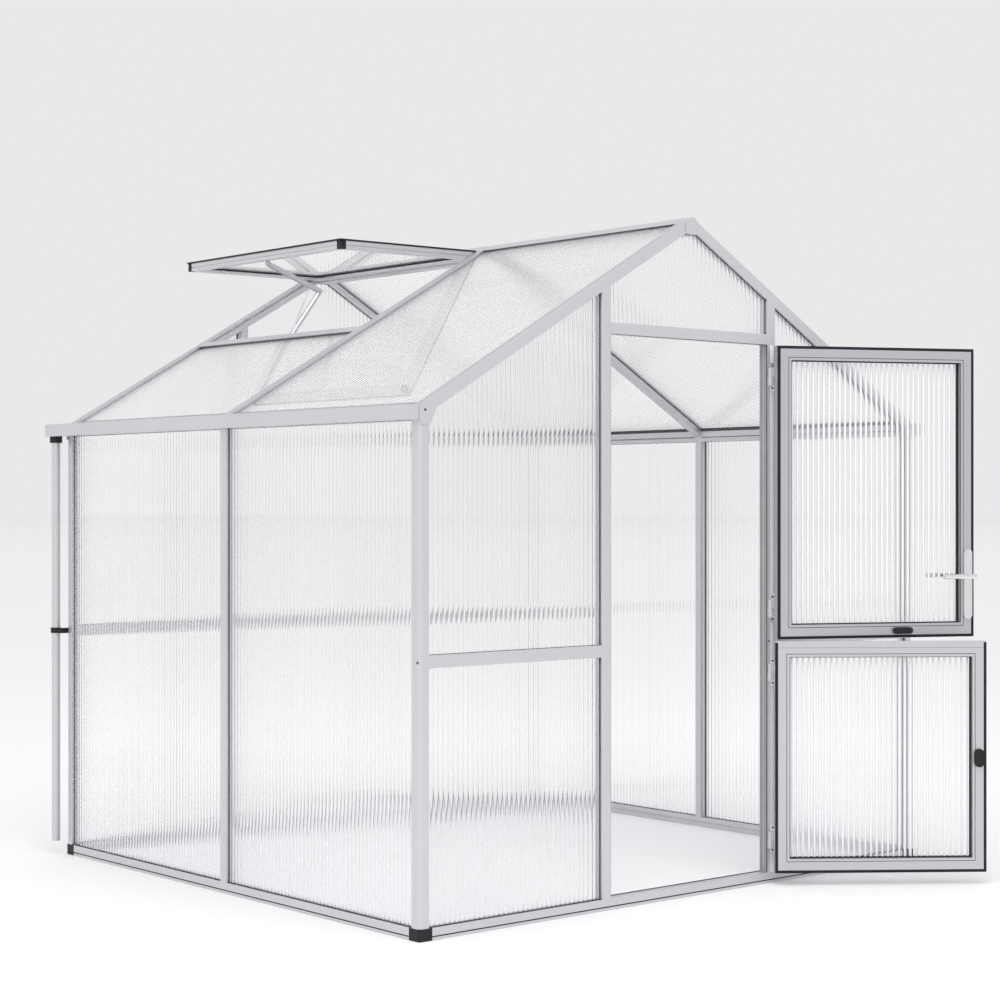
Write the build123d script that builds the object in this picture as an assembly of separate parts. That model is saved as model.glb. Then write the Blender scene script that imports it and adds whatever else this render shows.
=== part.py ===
from build123d import *
import os
from math import cos, hypot, radians, sin, tan

# The house, measured outside its posts
house_width = 2360.0
house_length = 2160.0
eave_height = 1630.0
roof_pitch = 29.8

# Aluminium bars and the hollow plastic sheets that slide into their channels
bar_face = 38.0
bar_depth = 38.0
bar_round = 1.5
post_round = 14.0
rafter_depth = 36.0
sheet_thickness = 8.0
sheet_inset = 7.0
roof_sheet_inset = 6.0
channel_reach = 11.0
eave_reach = 4.0
play = 0.3
overrun = 5.0
rebate_width = 4.0
rebate_depth = 6.0

# Base ring with plastic corner caps
sill_height = 38.0
sill_lip = 9.0
sill_groove = 4.0
sill_groove_rise = 18.0
cap_length = 50.0
cap_round = 7.0
cap_proud = 1.0

# Gable walls: jambs beside the doorway, a lintel over it and rails at half height
doorway_width = 756.0
jamb_face = 40.0
rail_height = 40.0
rail_middle = 850.0
lintel_rise = 260.0
lintel_height = 38.0
gusset_reach = 28.0
gusset_drop = 40.0
gusset_thickness = 3.0

# Ridge, eaves, gutters and downpipes
ridge_half = 30.0
ridge_crown = 22.0
ridge_proud = 4.0
sheet_overhang = 12.0
cap_groove = 2.0
cap_groove_width = 8.0
beam_groove = 3.0
beam_groove_rise = 12.0
gutter_width = 45.0
gutter_height = 46.0
gutter_wall = 3.0
gutter_back_lip = 9.0
gutter_overhang = 88.0
pipe_radius = 16.0
pipe_wall = 2.0
pipe_clearance = 48.0
pipe_setback = 44.0
collar_radius = 23.5
collar_height = 24.0
clip_depth = 20.0
clip_wall = 4.0

# Roof vent, held open by its opener
vent_length = 636.0
vent_depth = 30.0
vent_rail = 28.0
vent_channel = 10.0
vent_sheet_inset = 5.0
vent_groove = 3.0
vent_groove_drop = 15.0
vent_gap = 4.0
vent_tilt = 0.4
vent_hinge_drop = 6.0
vent_corner = 24.0
trimmer_along = 667.0
trimmer_face = 38.0
opener_strap = 4.0
opener_width = 16.0
opener_lug = 8.0
opener_pin = 4.0
opener_tube = 10.0
opener_strut = 3.0
strut_share = 0.8
opener_reach = 240.0
opener_sink = 88.0
opener_sash_setback = 32.0
opener_sash_drop = 10.0
opener_trimmer_setback = 26.0
opener_trimmer_drop = 34.0

# Stable door: two leaves on the right jamb
door_gap = 6.0
leaf_depth = 38.0
leaf_member = 50.0
leaf_split = 856.0
leaf_lip = 5.0
leaf_lip_depth = 10.0
lip_groove_drop = 17.0
gasket_width = 10.0
gasket_depth = 6.0
bead_width = 9.0
bead_groove = 2.0
bead_groove_depth = 3.0
pane_inset = 7.0
upper_open_angle = 153.5
lower_open_angle = 142.0
hinge_side = 2.5
hinge_front = 12.0
knuckle_radius = 8.0
knuckle_height = 30.0
hinge_plate = 5.0
hinge_plate_width = 32.0
hinge_pin = 4.0
hinge_above_sill = 86.0
hinge_below_split = 145.0
hinge_above_split = 80.0
hinge_below_lintel = 142.0

# Lever handle, its back plates and the turn latches
handle_plate_width = 31.0
handle_plate_height = 249.0
handle_plate_depth = 9.0
handle_plate_drop = 153.0
lever_height = 1075.0
lever_length = 115.0
lever_radius = 9.0
lever_standoff = 46.0
spindle_radius = 5.0
latch_length = 73.0
latch_width = 23.0
latch_depth = 12.0
latch_along_share = 0.63
side_latch_width = 34.0
side_latch_height = 64.0
side_latch_middle = 443.0

# Places worked out from the sizes above
slope_cos = cos(radians(roof_pitch))
slope_sin = sin(radians(roof_pitch))
slope_rise = tan(radians(roof_pitch))
wall_out = house_width / 2
front_out = -bar_depth / 2
back_out = front_out + house_length
house_middle = (front_out + back_out) / 2
ridge_line = eave_height + wall_out * slope_rise
grip = channel_reach - play
slot = sheet_thickness + 2 * play
sheet_shift = sheet_inset + sheet_thickness / 2 - bar_depth / 2
doorway_half = doorway_width / 2
jamb_middle = doorway_half + jamb_face / 2
lintel_bottom = eave_height + lintel_rise
lintel_top = lintel_bottom + lintel_height
front_middle = (front_out, front_out + bar_depth)
back_middle = (back_out - bar_depth, back_out)
centre_bar = (house_middle - bar_face / 2, house_middle + bar_face / 2)
across = Plane.YZ
along = Plane(origin=(0, house_middle, 0), z_dir=(0, 1, 0))


def roof_top(x):
    return ridge_line - abs(x) * slope_rise


def roof_under(x):
    return roof_top(x) - rafter_depth / slope_cos


def slope_point(distance, drop):
    """A point in X and Z on the left slope: distance down from the ridge line, drop below the roof's face."""
    x = -distance * slope_cos + drop * slope_sin
    z = ridge_line - distance * slope_sin - drop * slope_cos
    return (x, z)


def block(x_span, y_span, z_span):
    spans = (x_span, y_span, z_span)
    middles = [(low + high) / 2 for low, high in spans]
    sizes = [high - low for low, high in spans]
    return Pos(*middles) * Box(*sizes)


def prism(points, y_span):
    """A solid with an outline drawn in X and Z, running along Y."""
    low, high = y_span
    outline = Polyline(*[(x, low, z) for x, z in points], close=True)
    return extrude(make_face(outline), amount=high - low, dir=(0, 1, 0))


def slope_prism(distances, drops, y_span):
    """A bar, sheet or channel in the left roof slope, with ends square to the slope."""
    near, far = distances
    top, bottom = drops
    corners = [(near, top), (far, top), (far, bottom), (near, bottom)]
    return prism([slope_point(*corner) for corner in corners], y_span)


def rod(start, end, radius):
    """A round rod between two points."""
    path = Vector(*end) - Vector(*start)
    plane = Plane(origin=start, z_dir=path)
    return extrude(plane * Circle(radius), amount=path.length)


def channel_bar(face, length, sides):
    """An extruded bar along Z with a sheet channel, and a rebate inside it, in each named side."""
    section = RectangleRounded(face, bar_depth, bar_round)
    for side in sides:
        middle = side * (face - channel_reach) / 2
        section -= Pos(middle, sheet_shift) * Rectangle(channel_reach, slot)
        rebate = (side * (face - rebate_width) / 2, (bar_depth - rebate_depth) / 2)
        section -= Pos(*rebate) * Rectangle(rebate_width, rebate_depth)
    return extrude(section, amount=length)


def front_upright(x, z_span, sides, face):
    return Pos(x, 0, z_span[0]) * channel_bar(face, z_span[1] - z_span[0], sides)


def front_rail(x_span, middle, height, sides):
    start = Plane(origin=(x_span[1], 0, middle), x_dir=(0, 0, 1), z_dir=(-1, 0, 0))
    return start.location * channel_bar(height, x_span[1] - x_span[0], sides)


def left_upright(y, z_span, sides, face):
    origin = (-wall_out + bar_depth / 2, y, z_span[0])
    start = Plane(origin=origin, x_dir=(0, -1, 0), z_dir=(0, 0, 1))
    return start.location * channel_bar(face, z_span[1] - z_span[0], sides)


def both_sides(piece):
    return [piece, mirror(piece, about=across)]


def both_ends(piece):
    return [piece, mirror(piece, about=along)]


nodes = {}

# Base ring: four sills with a sheet channel on top and a drip lip outside, joined by corner caps
cap_edge = wall_out - cap_length
post_edge = wall_out - bar_face
lip_span = (sill_lip, sill_lip + sill_groove)
channel_span = (sill_height - channel_reach, sill_height + overrun)
sheet_plane = (front_out + sheet_inset, front_out + sheet_inset + sheet_thickness)
slot_plane = (sheet_plane[0] - play, sheet_plane[1] + play)
groove_plane = (front_out - overrun, front_out + sill_groove)
inner_groove = (sill_groove_rise, sill_groove_rise + sill_groove)
inner_groove_plane = (front_middle[1] - sill_groove, front_middle[1] + overrun)


def front_sill(channel_spans):
    sill = block((-cap_edge, cap_edge), front_middle, (0, sill_height))
    sill -= block((-wall_out, wall_out), groove_plane, lip_span)
    sill -= block((-wall_out, wall_out), inner_groove_plane, inner_groove)
    for span in channel_spans:
        sill -= block(span, slot_plane, channel_span)
    return sill


bay_slot = (-cap_edge - overrun, -doorway_half - jamb_face + channel_reach)
front_slots = [bay_slot, (-bay_slot[1], -bay_slot[0])]
nodes["front_sill"] = [front_sill(front_slots)]
nodes["back_sill"] = [mirror(front_sill([(-wall_out, wall_out)]), about=along)]

side_run = (front_out + cap_length, back_out - cap_length)
side_plane = (-wall_out + sheet_inset, -wall_out + sheet_inset + sheet_thickness)
side_slot = (side_plane[0] - play, side_plane[1] + play)
side_sill = block((-wall_out, -wall_out + bar_depth), side_run, (0, sill_height))
side_sill -= block((-wall_out - overrun, -wall_out + sill_groove), side_run, lip_span)
side_inside = -wall_out + bar_depth
side_sill -= block((side_inside - sill_groove, side_inside + overrun), side_run, inner_groove)
side_sill -= block(side_slot, side_run, channel_span)
nodes["side_sills"] = both_sides(side_sill)

cap_out = -wall_out - cap_proud
cap_front = front_out - cap_proud
cap = block((cap_out, -cap_edge), (cap_front, front_out + cap_length), (0, sill_height))
cap_corner = cap.edges().filter_by(Axis.Z).sort_by(Axis.X)[:2].sort_by(Axis.Y)[0]
cap = fillet(cap_corner, cap_round)
notch = (-wall_out + bar_depth + cap_proud, front_out + bar_depth + cap_proud)
cap -= block((notch[0], 0), (notch[1], house_middle), (-overrun, sill_height + overrun))
cap -= block((-post_edge - channel_reach, -cap_edge + overrun), slot_plane, channel_span)
cap_slot = (front_out + bar_depth - channel_reach, side_run[0] + overrun)
cap -= block(side_slot, cap_slot, channel_span)
nodes["base_corner_caps"] = [c for end in both_ends(cap) for c in both_sides(end)]

# Corner posts: rounded outside, a channel on each inner side, cut to the roof slope on top
post = Rectangle(bar_face, bar_depth)
post = fillet(post.vertices().sort_by(Axis.X)[:2].sort_by(Axis.Y)[0], post_round)
post -= Pos((bar_face - channel_reach) / 2, sheet_shift) * Rectangle(channel_reach, slot)
post -= Pos(sheet_shift, (bar_depth - channel_reach) / 2) * Rectangle(slot, channel_reach)
post = extrude(post, amount=eave_height)
post = Pos(-wall_out + bar_face / 2, 0, sill_height) * post
above_roof = [
    (-wall_out - overrun, roof_under(wall_out + overrun)),
    (0, roof_under(0)),
    (0, ridge_line + eave_height),
    (-wall_out - overrun, ridge_line + eave_height),
]
front_cut = (front_out - overrun, front_out + bar_depth + overrun)
post -= prism(above_roof, front_cut)
nodes["corner_posts"] = [p for end in both_ends(post) for p in both_sides(end)]

# Door jambs and back mullions run from the sill to the rafters
jamb_run = (sill_height, ridge_line)
jamb = front_upright(-jamb_middle, jamb_run, (-1,), jamb_face)
gable_slot = (-doorway_half - channel_reach, -doorway_half + overrun)
jamb -= block(gable_slot, slot_plane, (lintel_bottom + play, ridge_line))
jamb -= prism(above_roof, front_cut)
mullion = front_upright(-jamb_middle, jamb_run, (-1, 1), jamb_face)
mullion -= prism(above_roof, front_cut)
nodes["door_jamb_left"] = [jamb]
nodes["door_jamb_right"] = [mirror(jamb, about=across)]
nodes["back_mullions"] = both_sides(mirror(mullion, about=along))

# Rails at half height, and the lintel over the doorway
bay_span = (-post_edge, -doorway_half - jamb_face)
door_span = (-doorway_half, doorway_half)
bay_rail = front_rail(bay_span, rail_middle, rail_height, (-1, 1))
middle_rail = front_rail(door_span, rail_middle, rail_height, (-1, 1))
lintel_middle = lintel_bottom + lintel_height / 2
nodes["front_rails"] = both_sides(bay_rail)
nodes["back_rails"] = [mirror(r, about=along) for r in both_sides(bay_rail) + [middle_rail]]
nodes["door_lintel"] = [front_rail(door_span, lintel_middle, lintel_height, (1,))]

# Side walls: one mullion each, and an eave beam whose top carries the roof sheets
eave_bottom = roof_under(wall_out)
beam_in = wall_out - bar_depth
side_mullion = left_upright(house_middle, (sill_height, eave_bottom), (-1, 1), bar_face)
nodes["side_mullions"] = both_sides(side_mullion)
sheet_bottom = roof_sheet_inset + sheet_thickness
beam_drop = (sheet_bottom + play) / slope_cos
beam_run = (front_middle[1], back_middle[0])
beam_outline = [
    (-wall_out, eave_bottom),
    (-beam_in, eave_bottom),
    (-beam_in, roof_top(beam_in) - beam_drop),
    (-wall_out, roof_top(wall_out) - beam_drop),
]
eave_beam = prism(beam_outline, beam_run)
eave_beam -= block(side_slot, beam_run, (eave_bottom - overrun, eave_bottom + eave_reach))
groove_low = eave_bottom + beam_groove_rise
groove_x = (-beam_in - beam_groove, -beam_in + overrun)
eave_beam -= block(groove_x, beam_run, (groove_low, groove_low + beam_groove))
nodes["eave_beams"] = both_sides(eave_beam)

# Rafters on the gables and one glazing bar in the middle of each slope
rafter_outline = [
    (-wall_out, roof_top(wall_out)),
    (-ridge_half, roof_top(ridge_half)),
    (-ridge_half, roof_under(ridge_half)),
    (-wall_out, roof_under(wall_out)),
]
slope_length = wall_out / slope_cos
channel_drops = (roof_sheet_inset - play, sheet_bottom + play)
sheet_drops = (roof_sheet_inset, sheet_bottom)
long_run = (-overrun, slope_length + house_width)
rafter_slot = (front_middle[1] - channel_reach, front_middle[1] + overrun)
gable_drops = (rafter_depth - channel_reach, rafter_depth + overrun)
rafter = prism(rafter_outline, front_middle)
rafter -= slope_prism(long_run, channel_drops, rafter_slot)
rafter -= slope_prism(long_run, gable_drops, slot_plane)
rafter -= slope_prism(long_run, (-overrun, cap_groove), (-cap_groove_width / 2, cap_groove_width / 2))
nodes["rafters"] = [r for end in both_ends(rafter) for r in both_sides(end)]

roof_bar = prism(rafter_outline, centre_bar)
for low in (centre_bar[0], centre_bar[1] - channel_reach):
    roof_bar -= slope_prism(long_run, channel_drops, (low, low + channel_reach))
bar_groove = (house_middle - cap_groove_width / 2, house_middle + cap_groove_width / 2)
roof_bar -= slope_prism(long_run, (-overrun, cap_groove), bar_groove)
roof_bar -= prism(beam_outline, centre_bar)
nodes["roof_bars"] = both_sides(roof_bar)

# Ridge beam: a round crown over a box with a sheet channel on each side
ridge_run = (front_out - ridge_proud, back_out + ridge_proud)
ridge_bottom = roof_under(ridge_half)
ridge_outline = [
    (-ridge_half, ridge_bottom),
    (ridge_half, ridge_bottom),
    (ridge_half, roof_top(ridge_half)),
    (0, ridge_line),
    (-ridge_half, roof_top(ridge_half)),
]
ridge = prism(ridge_outline, ridge_run)
crown_height = ridge_line - ridge_crown
ridge += rod((0, ridge_run[0], crown_height), (0, ridge_run[1], crown_height), ridge_crown)
ridge_core = (ridge_half - channel_reach) / slope_cos
ridge_slot = (front_middle[1] - channel_reach, back_middle[0] + channel_reach)
for side_cut in both_sides(slope_prism((ridge_core, slope_length), channel_drops, ridge_slot)):
    ridge -= side_cut
nodes["ridge_beam"] = [ridge]

# Corner plates tie rafter, post and gutter together on the gable faces
plate_outline = [
    (-wall_out, roof_top(wall_out)),
    (-post_edge + gusset_reach, roof_under(post_edge - gusset_reach)),
    (-post_edge, roof_under(post_edge) - gusset_drop),
    (-wall_out, roof_under(wall_out) - gusset_drop + gusset_reach),
]
plate = prism(plate_outline, (front_out - gusset_thickness, front_out))
nodes["eave_corner_plates"] = [p for end in both_ends(plate) for p in both_sides(end)]

# Gutters: open channels outside the eave beams, with a low back lip under the roof sheets
gutter_out = -wall_out - gutter_width
gutter_top = eave_bottom + gutter_height
gutter_run = (front_out, back_out + gutter_overhang)
trough_run = (gutter_run[0] + gutter_wall, gutter_run[1] - gutter_wall)
trough = (gutter_out + gutter_wall, -wall_out - gutter_wall)
trough_back = (trough[1], -wall_out + overrun)
gutter_open = gutter_top + overrun
pipe_x = -wall_out - gutter_width / 2
pipe_y = back_out + pipe_setback
outlet_low = (pipe_x, pipe_y, eave_bottom - overrun)
outlet_high = (pipe_x, pipe_y, eave_bottom + gutter_wall + overrun)
gutter = block((gutter_out, -wall_out), gutter_run, (eave_bottom, gutter_top))
gutter -= block(trough, trough_run, (eave_bottom + gutter_wall, gutter_open))
gutter -= block(trough_back, trough_run, (eave_bottom + gutter_back_lip, gutter_open))
gutter -= rod(outlet_low, outlet_high, pipe_radius - pipe_wall)
nodes["gutters"] = both_sides(gutter)

# Downpipes hang from the gutters behind the back wall, clipped to the corner posts
pipe_top = eave_bottom - play


def ring(outer, inner, z_span):
    tube = rod((pipe_x, pipe_y, z_span[0]), (pipe_x, pipe_y, z_span[1]), outer)
    bore = rod((pipe_x, pipe_y, z_span[0] - overrun), (pipe_x, pipe_y, z_span[1] + overrun), inner)
    return tube - bore


clip_span = (rail_middle - clip_depth / 2, rail_middle + clip_depth / 2)
clip_plate = block((pipe_x, -wall_out + bar_face), (back_out, back_out + clip_wall), clip_span)
clip_neck = block((pipe_x - clip_wall, pipe_x + clip_wall), (back_out, pipe_y), clip_span)
clip = clip_plate + clip_neck
clip += rod((pipe_x, pipe_y, clip_span[0]), (pipe_x, pipe_y, clip_span[1]), pipe_radius + clip_wall)
bore_span = (clip_span[0] - overrun, clip_span[1] + overrun)
clip -= rod((pipe_x, pipe_y, bore_span[0]), (pipe_x, pipe_y, bore_span[1]), pipe_radius + play)
collar = ring(collar_radius, pipe_radius + play, (pipe_top - collar_height, pipe_top))
nodes["downpipes"] = both_sides(ring(pipe_radius, pipe_radius - pipe_wall, (pipe_clearance, pipe_top)))
nodes["downpipe_fittings"] = both_sides(clip) + both_sides(collar)

# Wall sheets slide into the channels of the bars around them
bay_sheet = (bay_span[0] - grip, bay_span[1] + grip)
door_sheet = (door_span[0] - grip, door_span[1] + grip)
low_sheet = (sill_height - grip, rail_middle - rail_height / 2 + grip)
high_sheet = rail_middle + rail_height / 2 - grip
lift = grip / slope_cos


def sloped_sheet(x_span, z_low):
    low, high = x_span
    outline = [(low, z_low), (high, z_low), (high, roof_under(high) + lift), (low, roof_under(low) + lift)]
    return prism(outline, sheet_plane)


def gable_sheet(z_low):
    side = door_sheet[1]
    clear = ridge_half + play
    top = ridge_bottom - play
    eaves = (side, roof_under(side) + lift)
    right = [(side, z_low), eaves, (clear, roof_under(clear) + lift), (clear, top)]
    left = [(-x, z) for x, z in reversed(right)]
    return prism(right + left, sheet_plane)


lower_bay = block(bay_sheet, sheet_plane, low_sheet)
upper_bay = sloped_sheet(bay_sheet, high_sheet)
lower_middle = block(door_sheet, sheet_plane, low_sheet)
nodes["front_wall_sheets"] = both_sides(lower_bay) + both_sides(upper_bay)
nodes["front_gable_sheet"] = [gable_sheet(lintel_top - grip)]
middle_sheets = [lower_middle, gable_sheet(high_sheet)]
back_sheets = both_sides(lower_bay) + both_sides(upper_bay) + middle_sheets
nodes["back_wall_sheets"] = [mirror(s, about=along) for s in back_sheets]

side_sheet = block(
    side_plane,
    (front_middle[1] - grip, centre_bar[0] + grip),
    (sill_height - grip, eave_bottom + eave_reach - play),
)
nodes["left_wall_sheets"] = both_ends(side_sheet)
nodes["right_wall_sheets"] = [mirror(s, about=across) for s in both_ends(side_sheet)]

# Roof sheets, and the trimmer bar below the vent
front_bay = (front_middle[1] - grip, centre_bar[0] + grip)
back_bay = (centre_bar[1] - grip, back_middle[0] + grip)
sheet_end = (wall_out + sheet_overhang) / slope_cos
trimmer_end = trimmer_along + trimmer_face
full_slope = (ridge_core + play, sheet_end)
short_slope = (trimmer_end - grip, sheet_end)
full_sheet = slope_prism(full_slope, sheet_drops, front_bay)
vent_bay_sheet = slope_prism(short_slope, sheet_drops, back_bay)
nodes["left_roof_sheets"] = [full_sheet, vent_bay_sheet]
nodes["right_roof_sheets"] = [mirror(s, about=across) for s in both_ends(full_sheet)]
trimmer_run = (centre_bar[1], back_middle[0])
trimmer = slope_prism((trimmer_along, trimmer_end), (0, rafter_depth), trimmer_run)
trimmer -= slope_prism((trimmer_end - channel_reach, trimmer_end + overrun), channel_drops, trimmer_run)
nodes["vent_trimmer"] = [trimmer]

# Vent sash: a frame of four bars with two plastic corner pieces, standing open from the ridge
vent_run = (trimmer_run[0] + vent_gap, trimmer_run[1] - vent_gap)
vent_hinge = Pos(-ridge_half - play, 0, roof_top(ridge_half) - vent_hinge_drop)
vent_place = vent_hinge * Rot(Y=-vent_tilt)
glass_run = (vent_run[0] + vent_rail, vent_run[1] - vent_rail)
glass_span = (-vent_length + vent_rail, -vent_rail)
vent_height = (-vent_depth, 0)
vent_sheet_height = (-vent_sheet_inset - sheet_thickness, -vent_sheet_inset)
vent_slot = (vent_sheet_height[0] - play, vent_sheet_height[1] + play)
vent_cut = block(
    (glass_span[0] - vent_channel, glass_span[1] + vent_channel),
    (glass_run[0] - vent_channel, glass_run[1] + vent_channel),
    vent_slot,
)
vent_line = (-vent_groove_drop - vent_groove, -vent_groove_drop)
vent_edge = block(
    (-vent_length - overrun, overrun),
    (vent_run[0] - overrun, vent_run[1] + overrun),
    vent_line,
)
vent_edge -= block(
    (-vent_length + vent_groove, overrun),
    (vent_run[0] + vent_groove, vent_run[1] - vent_groove),
    vent_height,
)
corner_inner = -vent_length + vent_corner
free_run = (vent_run[0] + vent_corner, vent_run[1] - vent_corner)
bay_plane = Plane(origin=(0, sum(vent_run) / 2, 0), z_dir=(0, 1, 0))
hinge_rail = block((-vent_rail, 0), glass_run, vent_height)
side_rail = block((corner_inner, 0), (vent_run[0], glass_run[0]), vent_height)
side_rails = [side_rail, mirror(side_rail, about=bay_plane)]
free_rail = block((-vent_length, glass_span[0]), free_run, vent_height) - side_rails
sash_rails = [hinge_rail, free_rail] + side_rails
vent_corner_piece = block((-vent_length, corner_inner), (vent_run[0], free_run[0]), vent_height)
vent_sheet = block(
    (glass_span[0] - vent_channel + play, glass_span[1] + vent_channel - play),
    (glass_run[0] - vent_channel + play, glass_run[1] + vent_channel - play),
    vent_sheet_height,
)
corners = [vent_corner_piece, mirror(vent_corner_piece, about=bay_plane)]
nodes["vent_sash_rails"] = [vent_place * (r - vent_cut - vent_edge) for r in sash_rails]
nodes["vent_corner_pieces"] = [vent_place * (c - vent_cut) for c in corners]
nodes["vent_sheet"] = [vent_place * vent_sheet]

# Vent opener: a folding pair of arms with a thin strut, between the trimmer and the sash, pinned at every joint
opener_y = sum(vent_run) / 2
trimmer_pin = slope_point(trimmer_along - opener_trimmer_setback, opener_trimmer_drop)
sash_origin = (-ridge_half - play, roof_top(ridge_half) - vent_hinge_drop)
sash_free = -vent_length + opener_sash_setback
sash_cos = cos(radians(vent_tilt))
sash_sin = sin(radians(vent_tilt))
sash_under = vent_depth + opener_sash_drop
sash_pin = (
    sash_origin[0] + sash_free * sash_cos + sash_under * sash_sin,
    sash_origin[1] + sash_free * sash_sin - sash_under * sash_cos,
)
elbow = (sash_pin[0] + opener_reach, sash_pin[1] - opener_sink)
strut_pin = (
    sash_pin[0] + strut_share * (elbow[0] - sash_pin[0]),
    sash_pin[1] + strut_share * (elbow[1] - sash_pin[1]),
)
lug_span = (opener_y - opener_lug / 2, opener_y + opener_lug / 2)
strap_low = (lug_span[0] - play - opener_strap, lug_span[0] - play)
strap_high = (lug_span[1] + play, lug_span[1] + play + opener_strap)
pin_span = (strap_low[0], strap_high[1])


def link(start, end, y_span):
    """A flat link with round ends between two pins, drawn in X and Z."""
    low, high = y_span
    length = hypot(end[0] - start[0], end[1] - start[1])
    middle = ((start[0] + end[0]) / 2, low, (start[1] + end[1]) / 2)
    place = Plane(origin=middle, x_dir=(end[0] - start[0], 0, end[1] - start[1]), z_dir=(0, 1, 0))
    return extrude(place * SlotCenterToCenter(length, opener_width), amount=high - low)


def pin(centre, radius, y_span):
    return rod((centre[0], y_span[0], centre[1]), (centre[0], y_span[1], centre[1]), radius)


eye = opener_pin + play
upper_arm = link(sash_pin, elbow, strap_low) + link(sash_pin, elbow, strap_high)
upper_arm += pin(sash_pin, opener_pin, pin_span)
upper_arm += pin(elbow, opener_pin, pin_span)
upper_arm += pin(strut_pin, opener_pin, pin_span)
lug_cut = (lug_span[0] - overrun, lug_span[1] + overrun)
run = Vector(elbow[0] - trimmer_pin[0], 0, elbow[1] - trimmer_pin[1])
step = run.normalized() * opener_width
tube_start = (trimmer_pin[0] + step.X, opener_y, trimmer_pin[1] + step.Z)
tube_end = (elbow[0] - step.X, opener_y, elbow[1] - step.Z)
lower_arm = link(trimmer_pin, elbow, lug_span) + rod(tube_start, tube_end, opener_tube)
lower_arm += rod(tube_start, (strut_pin[0], opener_y, strut_pin[1]), opener_strut)
lower_arm += pin(strut_pin, opener_width / 2, lug_span)
lower_arm -= pin(strut_pin, eye, lug_cut)
lower_arm -= pin(elbow, eye, lug_cut)
lower_arm -= pin(trimmer_pin, eye, lug_cut)
sash_seat = (sash_pin[0], sash_pin[1] + opener_sash_drop)
sash_lug = link(sash_pin, sash_seat, lug_span)
sash_lug = vent_place.inverse() * sash_lug
sash_lug &= block((-vent_length, 0), lug_cut, (-vent_depth - opener_reach, -vent_depth))
sash_lug = vent_place * sash_lug
sash_lug -= pin(sash_pin, eye, lug_cut)
trimmer_seat = slope_point(trimmer_along + opener_width, opener_trimmer_drop)
cheeks = link(trimmer_pin, trimmer_seat, strap_low) + link(trimmer_pin, trimmer_seat, strap_high)
cheeks += pin(trimmer_pin, opener_pin, pin_span)
cheeks -= slope_prism((trimmer_along, trimmer_end), (0, rafter_depth), trimmer_run)
nodes["vent_opener"] = [upper_arm, lower_arm, sash_lug, cheeks]

# Stable door, built shut in the doorway and then swung open on its hinge line
hinge_x = doorway_half + hinge_side
hinge_y = front_out - hinge_front
leaf_side = doorway_half - door_gap
leaf_span = (-leaf_side, leaf_side)
leaf_plane = (front_out, front_out + leaf_depth)
inner_face = leaf_plane[1]
pane_front = front_out + pane_inset
pane_plane = (pane_front, pane_front + sheet_thickness)
pane_slot = (pane_plane[0] - play, pane_plane[1] + play)
handle_x = -leaf_side + leaf_member / 2
lower_span = (sill_height + door_gap, leaf_split - door_gap / 2 - leaf_lip)
upper_span = (leaf_split + door_gap / 2, lintel_bottom - door_gap)


def swing(piece, angle):
    return Pos(hinge_x, hinge_y, 0) * Rot(Z=angle) * Pos(-hinge_x, -hinge_y, 0) * piece


def frame_ring(x_span, z_span, width, y_span):
    outer = block(x_span, y_span, z_span)
    hole_x = (x_span[0] + width, x_span[1] - width)
    hole_y = (y_span[0] - overrun, y_span[1] + overrun)
    hole_z = (z_span[0] + width, z_span[1] - width)
    return outer - block(hole_x, hole_y, hole_z)


def leaf_frame(z_span, lipped):
    """Stiles, rails, pane and gasket of one leaf, shut; a lipped leaf has no gasket along its top."""
    glass_x = (-leaf_side + leaf_member, leaf_side - leaf_member)
    glass_z = (z_span[0] + leaf_member, z_span[1] - leaf_member)
    cut = block(
        (glass_x[0] - channel_reach, glass_x[1] + channel_reach),
        pane_slot,
        (glass_z[0] - channel_reach, glass_z[1] + channel_reach),
    )
    bead_edge = bead_width + bead_groove
    groove_y = (inner_face - bead_groove_depth, inner_face + overrun)
    cut += frame_ring(
        (glass_x[0] - bead_edge, glass_x[1] + bead_edge),
        (glass_z[0] - bead_edge, glass_z[1] + bead_edge),
        bead_groove,
        groove_y,
    )
    seat = frame_ring(leaf_span, z_span, gasket_width, (inner_face - gasket_depth, inner_face))
    if lipped:
        inside = (-leaf_side + gasket_width, leaf_side - gasket_width)
        line = z_span[1] - lip_groove_drop
        seat -= block(inside, leaf_plane, (z_span[1] - gasket_width - overrun, z_span[1] + overrun))
        cut += block(inside, groove_y, (line - bead_groove, line))
    stile = block((-leaf_side, glass_x[0]), leaf_plane, z_span) - cut - seat
    low_rail = block(glass_x, leaf_plane, (z_span[0], glass_z[0])) - cut - seat
    high_rail = block(glass_x, leaf_plane, (glass_z[1], z_span[1])) - cut - seat
    pane_x = (glass_x[0] - grip, glass_x[1] + grip)
    pane_z = (glass_z[0] - grip, glass_z[1] + grip)
    pane = block(pane_x, pane_plane, pane_z)
    return both_sides(stile), [low_rail, high_rail], pane, seat


def knuckle(z_span, radius):
    return rod((hinge_x, hinge_y, z_span[0]), (hinge_x, hinge_y, z_span[1]), radius)


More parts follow.
